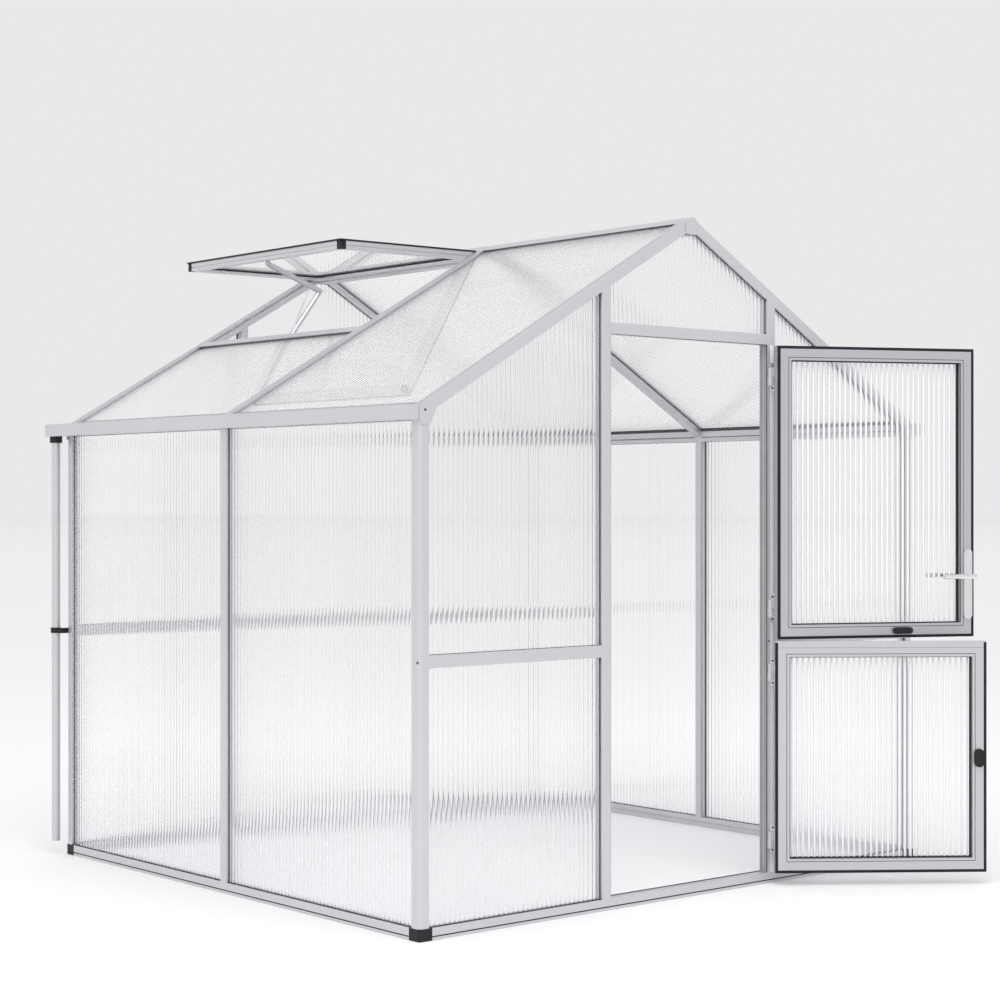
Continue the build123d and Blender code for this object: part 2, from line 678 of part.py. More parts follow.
def hinge(z_low):
    """One lift-off hinge: the jamb's half carries the pin, the leaf's half turns on it."""
    z_middle = z_low + knuckle_height
    z_high = z_middle + knuckle_height
    low = (z_low, z_middle - play)
    high = (z_middle, z_high)
    plate_y = (front_out - hinge_plate, front_out)
    jamb_half = block((doorway_half, doorway_half + hinge_plate_width), plate_y, low)
    jamb_half += block((hinge_x, hinge_x + knuckle_radius), (hinge_y, front_out), low)
    jamb_half += knuckle(low, knuckle_radius)
    jamb_half += knuckle((z_low, z_high), hinge_pin)
    leaf_half = block((leaf_side - hinge_plate_width, leaf_side), plate_y, high)
    leaf_half += block((leaf_side - hinge_plate, hinge_x), (hinge_y, front_out - hinge_plate), high)
    leaf_half += knuckle(high, knuckle_radius)
    leaf_half -= knuckle((z_low, z_high + overrun), hinge_pin + play)
    return jamb_half, leaf_half


spindle_cut = rod(
    (handle_x, front_out - overrun, lever_height),
    (handle_x, inner_face + overrun, lever_height),
    spindle_radius + play,
)
jamb_halves = []
upper_hinges = (leaf_split + hinge_above_split, lintel_bottom - hinge_below_lintel)
lower_hinges = (sill_height + hinge_above_sill, leaf_split - hinge_below_split)
leaves = {
    "upper": (upper_span, upper_open_angle, upper_hinges),
    "lower": (lower_span, lower_open_angle, lower_hinges),
}
for name, (z_span, angle, heights) in leaves.items():
    stiles, rails, pane, gasket = leaf_frame(z_span, name == "lower")
    if name == "upper":
        stiles = [stile - spindle_cut for stile in stiles]
    if name == "lower":
        lip_y = (inner_face - leaf_lip_depth, inner_face)
        rails[1] += block(leaf_span, lip_y, (z_span[1], z_span[1] + leaf_lip))
    halves = [hinge(height) for height in heights]
    jamb_halves += [half[0] for half in halves]
    nodes[name + "_leaf_stiles"] = [swing(s, angle) for s in stiles]
    nodes[name + "_leaf_rails"] = [swing(r, angle) for r in rails]
    nodes[name + "_leaf_sheet"] = [swing(pane, angle)]
    nodes[name + "_leaf_gasket"] = [swing(gasket, angle)]
    nodes[name + "_leaf_hinges"] = [swing(half[1], angle) for half in halves]
nodes["jamb_hinges"] = jamb_halves

# Handle back plates on both faces, one lever through the stile, and a turn latch on each leaf
plate_low = lever_height - handle_plate_drop
plate_z = (plate_low, plate_low + handle_plate_height)
plate_middle = sum(plate_z) / 2
plate_reach = handle_plate_height - handle_plate_width


def upright_slot(origin, reach, width, depth):
    place = Plane(origin=origin, x_dir=(0, 0, 1), z_dir=(0, 1, 0))
    return extrude(place * SlotCenterToCenter(reach, width), amount=depth)


plates = []
for face in (front_out - handle_plate_depth, inner_face):
    plate_place = (handle_x, face, plate_middle)
    back_plate = upright_slot(plate_place, plate_reach, handle_plate_width, handle_plate_depth)
    bore_start = (handle_x, face - overrun, lever_height)
    bore_end = (handle_x, face + handle_plate_depth + overrun, lever_height)
    plates.append(back_plate - rod(bore_start, bore_end, spindle_radius + play))
nodes["handle_plates"] = [swing(p, upper_open_angle) for p in plates]

lever_out = front_out - handle_plate_depth - lever_standoff
lever_in = inner_face + handle_plate_depth + lever_standoff
lever = rod((handle_x, lever_out, lever_height), (handle_x, lever_in, lever_height), spindle_radius)
for side, y in ((-1, lever_out), (1, lever_in)):
    start = (handle_x - lever_radius, y, lever_height)
    end = (handle_x + lever_length, y, lever_height)
    lever += rod(start, end, lever_radius)
    neck = y - side * (lever_standoff - play)
    lever += rod((handle_x, y, lever_height), (handle_x, neck, lever_height), lever_radius)
nodes["lever_handle"] = [swing(lever, upper_open_angle)]

latch_x = leaf_side - latch_along_share * 2 * leaf_side
latch_z = upper_span[0] + leaf_member / 2
latch_place = Plane(origin=(latch_x, inner_face, latch_z), x_dir=(1, 0, 0), z_dir=(0, 1, 0))
oval = extrude(latch_place * SlotOverall(latch_length, latch_width), amount=latch_depth)
side_latch_x = -leaf_side + gasket_width + side_latch_width / 2
side_reach = side_latch_height - side_latch_width
side_latch_place = (side_latch_x, inner_face, side_latch_middle)
side_latch = upright_slot(side_latch_place, side_reach, side_latch_width, latch_depth)
nodes["upper_leaf_latch"] = [swing(oval, upper_open_angle)]
nodes["lower_leaf_latch"] = [swing(side_latch, lower_open_angle)]

os.makedirs("parts", exist_ok=True)
for name, pieces in nodes.items():
    solids = [solid for piece in pieces for solid in piece.solids()]
    export_step(Compound(solids), f"parts/{name}.step")
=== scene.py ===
from math import cos, radians, sin, tan

import bpy
from mathutils import Matrix, Vector


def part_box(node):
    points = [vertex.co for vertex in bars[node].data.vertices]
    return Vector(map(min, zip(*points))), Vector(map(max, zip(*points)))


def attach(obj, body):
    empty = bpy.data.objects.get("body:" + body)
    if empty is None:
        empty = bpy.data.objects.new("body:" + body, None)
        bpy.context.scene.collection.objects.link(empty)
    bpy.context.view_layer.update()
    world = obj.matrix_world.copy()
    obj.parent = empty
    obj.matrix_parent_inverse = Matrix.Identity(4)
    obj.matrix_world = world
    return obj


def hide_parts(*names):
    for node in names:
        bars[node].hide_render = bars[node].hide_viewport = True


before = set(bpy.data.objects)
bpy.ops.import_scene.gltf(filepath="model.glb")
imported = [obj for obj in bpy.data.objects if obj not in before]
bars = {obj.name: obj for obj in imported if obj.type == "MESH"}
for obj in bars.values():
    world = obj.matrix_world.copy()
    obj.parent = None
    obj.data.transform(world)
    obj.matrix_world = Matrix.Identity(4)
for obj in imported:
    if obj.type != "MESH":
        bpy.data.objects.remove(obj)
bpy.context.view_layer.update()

# Base ring: four extruded sills of satin aluminium lie on the ground and carry the house.
# The press leaves faint lines along every bar, and the finish varies a little from bar to bar.
# The sills butt against plastic corner caps.
roof_pitch = radians(29.8)
silver = (0.66, 0.662, 0.685, 1.0)
shadow_silver = (0.585, 0.587, 0.612, 1.0)
lines_across = 420.0
lines_along = 1.5


def shader_group(name, inputs, outputs):
    """An empty node group with its sockets, given by name and type, and its input and output nodes."""
    group = bpy.data.node_groups.new(name, "ShaderNodeTree")
    for in_out, sockets in (("INPUT", inputs), ("OUTPUT", outputs)):
        for socket, kind in sockets:
            group.interface.new_socket(socket, in_out=in_out, socket_type="NodeSocket" + kind)
    return group, group.nodes.new("NodeGroupInput"), group.nodes.new("NodeGroupOutput")


def press_lines():
    """Faint lines of an extruded bar: colour, roughness and height from a vector that is long along the bar."""
    group, given, result = shader_group(
        "press_lines",
        (
            ("Along", "Vector"), ("Place", "Vector"), ("Bright", "Color"),
            ("Dull", "Color"), ("Smooth", "Float"), ("Rough", "Float"),
        ),
        (("Colour", "Color"), ("Roughness", "Float"), ("Height", "Float")),
    )
    tree = group.nodes
    lines = tree.new("ShaderNodeTexNoise")
    lines.inputs["Scale"].default_value = 1.0
    lines.inputs["Detail"].default_value = 3.0
    cloud = tree.new("ShaderNodeTexNoise")
    cloud.inputs["Scale"].default_value = 3.0
    cloud.inputs["Detail"].default_value = 2.0
    cloud_share = tree.new("ShaderNodeMath")
    cloud_share.operation = "MULTIPLY"
    cloud_share.inputs[1].default_value = 0.55
    blend = tree.new("ShaderNodeMath")
    blend.operation = "MULTIPLY_ADD"
    blend.inputs[1].default_value = 0.45
    tint = tree.new("ShaderNodeMix")
    tint.data_type = "RGBA"
    spread = tree.new("ShaderNodeMapRange")
    spread.inputs["From Min"].default_value = 0.3
    spread.inputs["From Max"].default_value = 0.7
    join = group.links.new
    join(given.outputs["Along"], lines.inputs["Vector"])
    join(given.outputs["Place"], cloud.inputs["Vector"])
    join(cloud.outputs["Fac"], cloud_share.inputs[0])
    join(lines.outputs["Fac"], blend.inputs[0])
    join(cloud_share.outputs[0], blend.inputs[2])
    join(blend.outputs[0], tint.inputs["Factor"])
    join(given.outputs["Bright"], tint.inputs["A"])
    join(given.outputs["Dull"], tint.inputs["B"])
    join(blend.outputs[0], spread.inputs["Value"])
    join(given.outputs["Smooth"], spread.inputs["To Min"])
    join(given.outputs["Rough"], spread.inputs["To Max"])
    join(tint.outputs["Result"], result.inputs["Colour"])
    join(spread.outputs["Result"], result.inputs["Roughness"])
    join(lines.outputs["Fac"], result.inputs["Height"])
    return group


def grouped_material(name, group, strength, distance):
    """A material whose colour, roughness and bump come from a node group, with its shader and its group node."""
    made = bpy.data.materials.new(name)
    made.use_nodes = True
    tree = made.node_tree.nodes
    surface = tree["Principled BSDF"]
    place = tree.new("ShaderNodeTexCoord")
    finish = tree.new("ShaderNodeGroup")
    finish.node_tree = group
    bump = tree.new("ShaderNodeBump")
    bump.inputs["Strength"].default_value = strength
    bump.inputs["Distance"].default_value = distance
    join = made.node_tree.links.new
    join(place.outputs["Object"], finish.inputs["Place"])
    join(finish.outputs["Colour"], surface.inputs["Base Color"])
    join(finish.outputs["Roughness"], surface.inputs["Roughness"])
    join(finish.outputs["Height"], bump.inputs["Height"])
    join(bump.outputs["Normal"], surface.inputs["Normal"])
    return made, surface, finish


extruded = press_lines()


def aluminium(name, run, turn=0.0, bright=silver, dull=shadow_silver, smooth=0.34, rough=0.46, metal=0.75):
    """Satin aluminium whose lines follow the bar: run is x, y, z, or slope for the roof's bars; turn is about Z."""
    made, surface, finish = grouped_material(name, extruded, 0.06, 0.0004)
    surface.inputs["Metallic"].default_value = metal
    finish.inputs["Bright"].default_value = bright
    finish.inputs["Dull"].default_value = dull
    finish.inputs["Smooth"].default_value = smooth
    finish.inputs["Rough"].default_value = rough
    tree = made.node_tree.nodes
    join = made.node_tree.links.new
    place = tree.new("ShaderNodeTexCoord")
    if run == "slope":
        apart = tree.new("ShaderNodeSeparateXYZ")
        side = tree.new("ShaderNodeMath")
        side.operation = "ABSOLUTE"
        drop = tree.new("ShaderNodeMath")
        drop.operation = "MULTIPLY_ADD"
        drop.inputs[1].default_value = tan(roof_pitch)
        stretch = tree.new("ShaderNodeCombineXYZ")
        fine = tree.new("ShaderNodeVectorMath")
        fine.operation = "MULTIPLY"
        fine.inputs[1].default_value = (lines_across, lines_across, lines_along)
        join(place.outputs["Object"], apart.inputs[0])
        join(apart.outputs["X"], side.inputs[0])
        join(side.outputs[0], drop.inputs[0])
        join(apart.outputs["Z"], drop.inputs[2])
        join(drop.outputs[0], stretch.inputs["X"])
        join(apart.outputs["Y"], stretch.inputs["Y"])
        join(side.outputs[0], stretch.inputs["Z"])
        join(stretch.outputs[0], fine.inputs[0])
    else:
        fine = tree.new("ShaderNodeMapping")
        fine.vector_type = "TEXTURE"
        fine.inputs["Rotation"].default_value = (0, 0, radians(turn))
        fine.inputs["Scale"].default_value = [1 / (lines_along if axis == run else lines_across) for axis in "xyz"]
        join(place.outputs["Object"], fine.inputs["Vector"])
    join(fine.outputs["Vector"], finish.inputs["Along"])
    return made


def finish_bars(material, *names):
    for name in names:
        bars[name].data.materials.clear()
        bars[name].data.materials.append(material)


bar_x = aluminium("aluminium_along_width", "x")
bar_y = aluminium("aluminium_along_length", "y")
bar_z = aluminium("aluminium_upright", "z")
bar_slope = aluminium("aluminium_along_slope", "slope")
finish_bars(bar_x, "front_sill", "back_sill")
finish_bars(bar_y, "side_sills")

# Corner caps: black moulded plastic blocks with a fine grain, plugged into the sills' ends.
# The same plastic makes the vent's corner pieces, the pipe collars and clips, and the turn latches.


def moulded_grain():
    """Fine grain of a plastic moulding: colour, roughness and height."""
    group, given, result = shader_group(
        "moulded_grain",
        (("Place", "Vector"), ("Dark", "Color"), ("Worn", "Color")),
        (("Colour", "Color"), ("Roughness", "Float"), ("Height", "Float")),
    )
    tree = group.nodes
    grain = tree.new("ShaderNodeTexNoise")
    grain.inputs["Scale"].default_value = 900.0
    grain.inputs["Detail"].default_value = 1.0
    cloud = tree.new("ShaderNodeTexNoise")
    cloud.inputs["Scale"].default_value = 25.0
    cloud.inputs["Detail"].default_value = 3.0
    tint = tree.new("ShaderNodeMix")
    tint.data_type = "RGBA"
    spread = tree.new("ShaderNodeMapRange")
    spread.inputs["To Min"].default_value = 0.36
    spread.inputs["To Max"].default_value = 0.6
    join = group.links.new
    join(given.outputs["Place"], grain.inputs["Vector"])
    join(given.outputs["Place"], cloud.inputs["Vector"])
    join(cloud.outputs["Fac"], tint.inputs["Factor"])
    join(given.outputs["Dark"], tint.inputs["A"])
    join(given.outputs["Worn"], tint.inputs["B"])
    join(cloud.outputs["Fac"], spread.inputs["Value"])
    join(tint.outputs["Result"], result.inputs["Colour"])
    join(spread.outputs["Result"], result.inputs["Roughness"])
    join(grain.outputs["Fac"], result.inputs["Height"])
    return group


grained = moulded_grain()


def moulding(name, dark, worn, depth):
    """Grained plastic or rubber that varies between two colours; depth is the strength of its grain."""
    made, surface, finish = grouped_material(name, grained, depth, 0.0003)
    surface.inputs["Specular IOR Level"].default_value = 0.2
    finish.inputs["Dark"].default_value = dark
    finish.inputs["Worn"].default_value = worn
    return made


black_plastic = moulding("black_plastic", (0.012, 0.012, 0.014, 1.0), (0.028, 0.028, 0.031, 1.0), 0.35)
finish_bars(black_plastic, "base_corner_caps")

# Uprights and rails: corner posts, door jambs, mullions, half-height rails and the lintel.
# Each is an extruded bar with a channel for the sheets, screwed to its neighbours.
finish_bars(bar_z, "corner_posts", "door_jamb_left", "door_jamb_right", "back_mullions", "side_mullions")
finish_bars(bar_x, "front_rails", "back_rails", "door_lintel")

# Roof bars: eave beams, gable rafters, one glazing bar a slope, and the ridge with its round crown.
# They carry the roof sheets in side channels and meet the posts at screwed corner plates.
finish_bars(bar_y, "eave_beams", "ridge_beam", "vent_trimmer")
finish_bars(bar_slope, "rafters", "roof_bars", "eave_corner_plates")

# Gutters and downpipes: thin aluminium channels along both eaves, each with a round pipe behind the house.
# Black collars and clips hold the pipes.
finish_bars(bar_y, "gutters")
finish_bars(bar_z, "downpipes")
finish_bars(black_plastic, "downpipe_fittings")

# Sheets: hollow clear plastic, two skins with a row of long chambers between them.
# Each sheet is one slab with its chambers inside, cut to the slope where it meets a rafter.
# Its edges are tucked into the channels of the bars round it.
flute_pitch = 0.020
sheet_depth = 0.008
half_sheet = sheet_depth / 2
sheet_margin = 0.004
end_wall = 0.002
tuck = 0.0107
wall_chamber = (0.0188, 0.0012, 0.0003, 0.0026)
roof_chamber = (0.0188, 0.0044, 0.0008, 0.0004)


def clear_plastic():
    """Clear plastic that bends the view but lets lamplight and bounced light straight through."""
    made = bpy.data.materials.new("clear_plastic_sheet")
    made.use_nodes = True
    tree = made.node_tree.nodes
    surface = tree["Principled BSDF"]
    surface.inputs["Roughness"].default_value = 0.0
    surface.inputs["IOR"].default_value = 1.2
    surface.inputs["Transmission Weight"].default_value = 1.0
    place = tree.new("ShaderNodeTexCoord")
    haze = tree.new("ShaderNodeTexNoise")
    haze.inputs["Scale"].default_value = 5.0
    haze.inputs["Detail"].default_value = 4.0
    tint = tree.new("ShaderNodeMix")
    tint.data_type = "RGBA"
    tint.inputs["A"].default_value = (0.996, 0.998, 1.0, 1.0)
    tint.inputs["B"].default_value = (1.0, 1.0, 1.0, 1.0)
    open_way = tree.new("ShaderNodeBsdfTransparent")
    open_way.inputs["Color"].default_value = (0.944, 0.946, 0.951, 1.0)
    path = tree.new("ShaderNodeLightPath")
    lit = tree.new("ShaderNodeMath")
    lit.operation = "MAXIMUM"
    mix = tree.new("ShaderNodeMixShader")
    join = made.node_tree.links.new
    join(place.outputs["Object"], haze.inputs["Vector"])
    join(haze.outputs["Fac"], tint.inputs["Factor"])
    join(tint.outputs["Result"], surface.inputs["Base Color"])
    join(path.outputs["Is Shadow Ray"], lit.inputs[0])
    join(path.outputs["Is Diffuse Ray"], lit.inputs[1])
    join(lit.outputs[0], mix.inputs["Fac"])
    join(surface.outputs["BSDF"], mix.inputs[1])
    join(open_way.outputs["BSDF"], mix.inputs[2])
    join(mix.outputs["Shader"], tree["Material Output"].inputs["Surface"])
    return made


clear_sheet = clear_plastic()


def select_only(piece):
    bpy.ops.object.select_all(action="DESELECT")
    piece.select_set(True)
    bpy.context.view_layer.objects.active = piece


def apply_place():
    bpy.ops.object.transform_apply(location=True, rotation=True, scale=True)


def add_box(middle, size):
    bpy.ops.object.select_all(action="DESELECT")
    bpy.ops.mesh.primitive_cube_add(size=1.0, location=middle)
    box = bpy.context.active_object
    box.scale = size
    apply_place()
    return box


def flute_row(width):
    """How many chambers fit across a sheet, and where the first one's middle lies."""
    count = int((width - sheet_margin) / flute_pitch)
    return count, (width - (count - 1) * flute_pitch) / 2


def repeat_across(piece, count):
    """Repeats the active piece at every flute."""
    row = piece.modifiers.new("row", "ARRAY")
    row.use_relative_offset = False
    row.use_constant_offset = True
    row.constant_offset_displace = (flute_pitch, 0, 0)
    row.count = count
    bpy.ops.object.modifier_apply(modifier="row")


def trim(cuts, inset):
    """Cuts the selected mesh along planes and closes it; inset keeps a wall inside the cut."""
    for point, normal in cuts:
        away = Vector(normal).normalized()
        bpy.ops.mesh.select_all(action="SELECT")
        bpy.ops.mesh.bisect(
            plane_co=Vector(point) - away * inset, plane_no=away, use_fill=True, clear_outer=True
        )


def chamber_row(width, height, cuts, steps, chamber):
    """The chambers inside a sheet, as closed tubes that face inward.

    A chamber is given by its width, its depth at the edges, the round of its corners and the bow of its faces.
    """
    chamber_width, chamber_depth, chamber_round, chamber_bow = chamber
    count, first = flute_row(width)
    bpy.ops.object.select_all(action="DESELECT")
    bpy.ops.mesh.primitive_plane_add(size=1.0, location=(first, 0, end_wall))
    chambers = bpy.context.active_object
    chambers.scale = (chamber_width, chamber_depth, 1.0)
    apply_place()
    bpy.ops.object.mode_set(mode="EDIT")
    bpy.ops.mesh.select_all(action="SELECT")
    bpy.ops.mesh.bevel(offset=chamber_round, segments=3, affect="VERTICES")
    bpy.ops.mesh.select_all(action="DESELECT")
    bpy.ops.object.mode_set(mode="OBJECT")
    points = chambers.data.vertices
    for edge in chambers.data.edges:
        edge.select = abs(points[edge.vertices[0]].co.x - points[edge.vertices[1]].co.x) > chamber_width / 2
    bpy.ops.object.mode_set(mode="EDIT")
    bpy.ops.mesh.subdivide(number_cuts=9)
    bpy.ops.object.mode_set(mode="OBJECT")
    flat_half = chamber_width / 2 - chamber_round
    for point in points:
        swell = max(0.0, 1 - ((point.co.x - first) / flat_half) ** 2)
        point.co.y += chamber_bow * swell * (1 if point.co.y > 0 else -1)
    bpy.ops.object.mode_set(mode="EDIT")
    bpy.ops.mesh.select_all(action="SELECT")
    rise = (0, 0, (height - 2 * end_wall) / steps)
    for step in range(steps):
        bpy.ops.mesh.extrude_region_move(TRANSFORM_OT_translate={"value": rise})
    bpy.ops.object.mode_set(mode="OBJECT")
    repeat_across(chambers, count)
    bpy.ops.object.mode_set(mode="EDIT")
    trim(cuts, end_wall)
    bpy.ops.mesh.select_all(action="SELECT")
    bpy.ops.mesh.normals_make_consistent(inside=True)
    bpy.ops.object.mode_set(mode="OBJECT")
    return chambers


def hollow_sheet(width, height, cuts, place, steps=1, chamber=wall_chamber):
    """One sheet drawn upright from its lower left corner: X across the chambers, Y through it, Z along them."""
    slab = add_box((width / 2, 0, height / 2), (width, sheet_depth, height))
    bpy.ops.object.mode_set(mode="EDIT")
    trim(cuts, 0)
    bpy.ops.object.mode_set(mode="OBJECT")
    chambers = chamber_row(width, height, cuts, steps, chamber)
    select_only(slab)
    chambers.select_set(True)
    bpy.ops.object.join()
    slab.matrix_world = place
    apply_place()
    return slab


def joined(name, parts):
    """Joins parts into one named piece."""
    select_only(parts[0])
    for part in parts[1:]:
        part.select_set(True)
    if len(parts) > 1:
        bpy.ops.object.join()
    piece = parts[0]
    piece.name = piece.data.name = name
    return piece


def glaze(name, node, body, sheets):
    """Joins a bay's sheets into one piece that stands for its CAD node."""
    piece = joined(name, sheets)
    bpy.ops.object.shade_smooth_by_angle(angle=radians(32))
    piece.data.materials.append(clear_sheet)
    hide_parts(node)
    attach(piece, body)


half_width = 1.18
house_length = 2.122
eave_height = 1.63
ridge_line = eave_height + half_width * tan(roof_pitch)
ridge_drop = 0.0585
rafter_drop = 0.036 / cos(roof_pitch)
front_plane = -0.008
back_plane = house_length - front_plane
side_plane = 1.169
side_top = 1.5922
post_edge = 1.142
jamb_edge = 0.418
door_edge = 0.378
sill_top = 0.038
rail_edges = (0.830, 0.870)
lintel_top = 1.928
bay_edges = ((0.019, 1.042), (1.080, 2.103))


def under_bar(x):
    """The height of the rafters' lower edge."""
    return ridge_line - abs(x) * tan(roof_pitch) - rafter_drop


def sheet_top(x):
    return under_bar(x) + tuck / cos(roof_pitch)


def gable_bay(left, right, low, plane):
    """A sheet in a gable wall, its top cut to the rafters above it."""
    cuts = []
    if left < 0:
        cuts.append(((0, 0, sheet_top(left) - low), (-sin(roof_pitch), 0, cos(roof_pitch))))
    if right > 0:
        cuts.append(((right - left, 0, sheet_top(right) - low), (sin(roof_pitch), 0, cos(roof_pitch))))
    cuts.append(((0, 0, ridge_line - ridge_drop - low), (0, 0, 1)))
    return hollow_sheet(right - left, sheet_top(0) - low, cuts, Matrix.Translation((left, plane, low)))


def plain_bay(left, right, low, high, plane):
    return hollow_sheet(right - left, high - low, [], Matrix.Translation((left, plane, low)))


bay = (-post_edge - tuck, tuck - jamb_edge)
middle = (-door_edge - tuck, door_edge + tuck)
low_span = (sill_top - tuck, rail_edges[0] + tuck)
upper_low = rail_edges[1] - tuck
for name, node, plane in (
    ("front_bay_sheets", "front_wall_sheets", front_plane),
    ("back_bay_sheets", "back_wall_sheets", back_plane),
):
    sheets = []
    for left, right in (bay, (-bay[1], -bay[0])):
        sheets.append(plain_bay(left, right, *low_span, plane))
        sheets.append(gable_bay(left, right, upper_low, plane))
    if node == "back_wall_sheets":
        sheets.append(plain_bay(*middle, *low_span, plane))
        sheets.append(gable_bay(*middle, upper_low, plane))
    glaze(name, node, "house", sheets)
glaze("gable_sheet", "front_gable_sheet", "house", [gable_bay(*middle, lintel_top - tuck, front_plane)])

tucked_bays = [(near - tuck, far + tuck) for near, far in bay_edges]
for name, node, x in (
    ("left_side_sheets", "left_wall_sheets", -side_plane),
    ("right_side_sheets", "right_wall_sheets", side_plane),
):
    sheets = []
    for near, far in tucked_bays:
        place = Matrix.Translation((x, near, low_span[0])) @ Matrix.Rotation(radians(90), 4, "Z")
        sheets.append(hollow_sheet(far - near, side_top - low_span[0], [], place))
    glaze(name, node, "house", sheets)


def slope_at(side, along, drop, y):
    """A point on a slope: its distance down from the ridge and its drop under the roof's outer face."""
    x = along * cos(roof_pitch) - drop * sin(roof_pitch)
    return Vector((side * x, y, ridge_line - along * sin(roof_pitch) - drop * cos(roof_pitch)))


def slope_place(side, along, y):
    """A roof sheet's corner, with its chambers running down the slope."""
    down = Vector((side * cos(roof_pitch), 0, -sin(roof_pitch)))
    out = Vector((side * sin(roof_pitch), 0, cos(roof_pitch)))
    turn = Matrix((out.cross(down), out, down)).transposed().to_4x4()
    return Matrix.Translation(slope_at(side, along, roof_sheet_drop, y)) @ turn


roof_sheet_drop = 0.010
roof_steps = 8
trimmer_edge = 0.705
full_run = (0.0222, 1.3736)
vent_run = (trimmer_edge - tuck, full_run[1])
for name, node, side in (
    ("left_slope_sheets", "left_roof_sheets", -1),
    ("right_slope_sheets", "right_roof_sheets", 1),
):
    sheets = []
    for number, (near, far) in enumerate(tucked_bays):
        top, foot = vent_run if side < 0 and number == 1 else full_run
        place = slope_place(side, top, far if side < 0 else near)
        sheets.append(hollow_sheet(far - near, foot - top, [], place, roof_steps, roof_chamber))
    glaze(name, node, "house", sheets)

# Glazing seals: soft dark rubber pressed between the sheets and the bars, mitred at the corners of every bay.
# More of it closes the roof sheets along the ridge and under the vent's trimmer. At the eaves, a black wedge over
# each eave beam and a dark bead along the beam's inner face are painted shade.
seal_width = 0.0012
seal_depth = 0.0022
roof_seal_depth = 0.0025
seal_rubber = moulding("glazing_rubber", (0.070, 0.070, 0.075, 1.0), (0.105, 0.105, 0.112, 1.0), 0.15)


def swept_strip(corners, depth, width=None):
    """A strip over the outline given by its corners, or a ring of a width inside it, swept along a vector."""
    bpy.ops.object.select_all(action="DESELECT")
    bpy.ops.mesh.primitive_circle_add(vertices=len(corners), fill_type="NGON")
    strip = bpy.context.active_object
    for point, corner in zip(strip.data.vertices, corners):
        point.co = corner
    apply_place()
    bpy.ops.object.mode_set(mode="EDIT")
    bpy.ops.mesh.select_all(action="SELECT")
    if width:
        bpy.ops.mesh.inset(thickness=width, depth=0.0)
        bpy.ops.mesh.delete(type="FACE")
        bpy.ops.mesh.select_all(action="SELECT")
    bpy.ops.mesh.extrude_region_move(TRANSFORM_OT_translate={"value": depth})
    bpy.ops.mesh.select_all(action="SELECT")
    bpy.ops.mesh.normals_make_consistent(inside=False)
    bpy.ops.object.mode_set(mode="OBJECT")
    return strip


def fit_piece(name, parts, body, material):
    """Joins parts into one finished piece on its body."""
    piece = joined(name, parts)
    piece.data.materials.clear()
    piece.data.materials.append(material)
    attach(piece, body)


def corners_of(near, low, far, high):
    return [(near, low), (far, low), (far, high), (near, high)]


seals = []
ridge_edge = 0.030
gable_top = [(x, under_bar(x)) for x in (door_edge, ridge_edge, -ridge_edge, -door_edge)]
for y, depth in ((front_plane + half_sheet, seal_depth), (back_plane - half_sheet, -seal_depth)):
    outlines = []
    for side in (-1, 1):
        near, far = side * post_edge, side * jamb_edge
        outlines.append(corners_of(near, sill_top, far, rail_edges[0]))
        top = [(far, under_bar(far)), (near, under_bar(near))]
        outlines.append([(near, rail_edges[1]), (far, rail_edges[1])] + top)
    if depth > 0:
        outlines.append([(-door_edge, lintel_top), (door_edge, lintel_top)] + gable_top)
    else:
        outlines.append(corners_of(-door_edge, sill_top, door_edge, rail_edges[0]))
        outlines.append([(-door_edge, rail_edges[1]), (door_edge, rail_edges[1])] + gable_top)
    for outline in outlines:
        seals.append(swept_strip([(x, y, z) for x, z in outline], (0, depth, 0), seal_width))

slope_top = 0.0346
slope_foot = 1.316
top_seal_width = 0.004
top_seal_depth = 0.003
sheet_under = roof_sheet_drop + half_sheet
sheet_over = roof_sheet_drop - half_sheet
for side in (-1, 1):
    inward = slope_at(side, 0, 1, 0) - slope_at(side, 0, 0, 0)
    x = side * (side_plane - half_sheet)
    for number, (near, far) in enumerate(bay_edges):
        corners = [(x, y, z) for y, z in corners_of(near, sill_top, far, under_bar(half_width))]
        seals.append(swept_strip(corners, (-side * seal_depth, 0, 0), seal_width))
        top = trimmer_edge if side < 0 and number == 1 else slope_top
        corners = [slope_at(side, along, sheet_under, y) for y, along in corners_of(near, top, far, slope_foot)]
        seals.append(swept_strip(corners, roof_seal_depth * inward, seal_width))
        outline = corners_of(near, top, far, top + top_seal_width)
        corners = [slope_at(side, along, sheet_over, y) for y, along in outline]
        seals.append(swept_strip(corners, -top_seal_depth * inward))

# The black wedge filling the gap over each eave beam and the dark bead along its inner face are painted shade: the
# gap's shadow and a groove's shade.
beam_face = post_edge
wedge_width = 0.014
wedge_along = (beam_face + sheet_under * sin(roof_pitch)) / cos(roof_pitch)
eave_shade_bead = ((1.6045, 0), (1.6075, 0), (1.6070, 0.0008), (1.6050, 0.0008))
for side in (-1, 1):
    for near, far in bay_edges:
        eave_shade_wedge = [
            (side * beam_face, near, eave_height),
            slope_at(side, wedge_along, sheet_under, near),
            slope_at(side, wedge_along - wedge_width, sheet_under, near),
        ]
        seals.append(swept_strip(eave_shade_wedge, (0, far - near, 0)))
        corners = [(side * (beam_face - proud), near, z) for z, proud in eave_shade_bead]
        seals.append(swept_strip(corners, (0, far - near, 0)))
fit_piece("glazing_seals_and_eave_shade", seals, "house", seal_rubber)

# Sill seals: black rubber strips that close the sheets' feet along the sills' tops,
# and thin dark strips in the groove along each sill's outer face, which are painted shade in the grooves.
sill_end = 1.129
side_sill_end = 0.032
side_sill_line = 1.161
foot_width = 0.002
foot_rise = (0, 0, 0.0015)
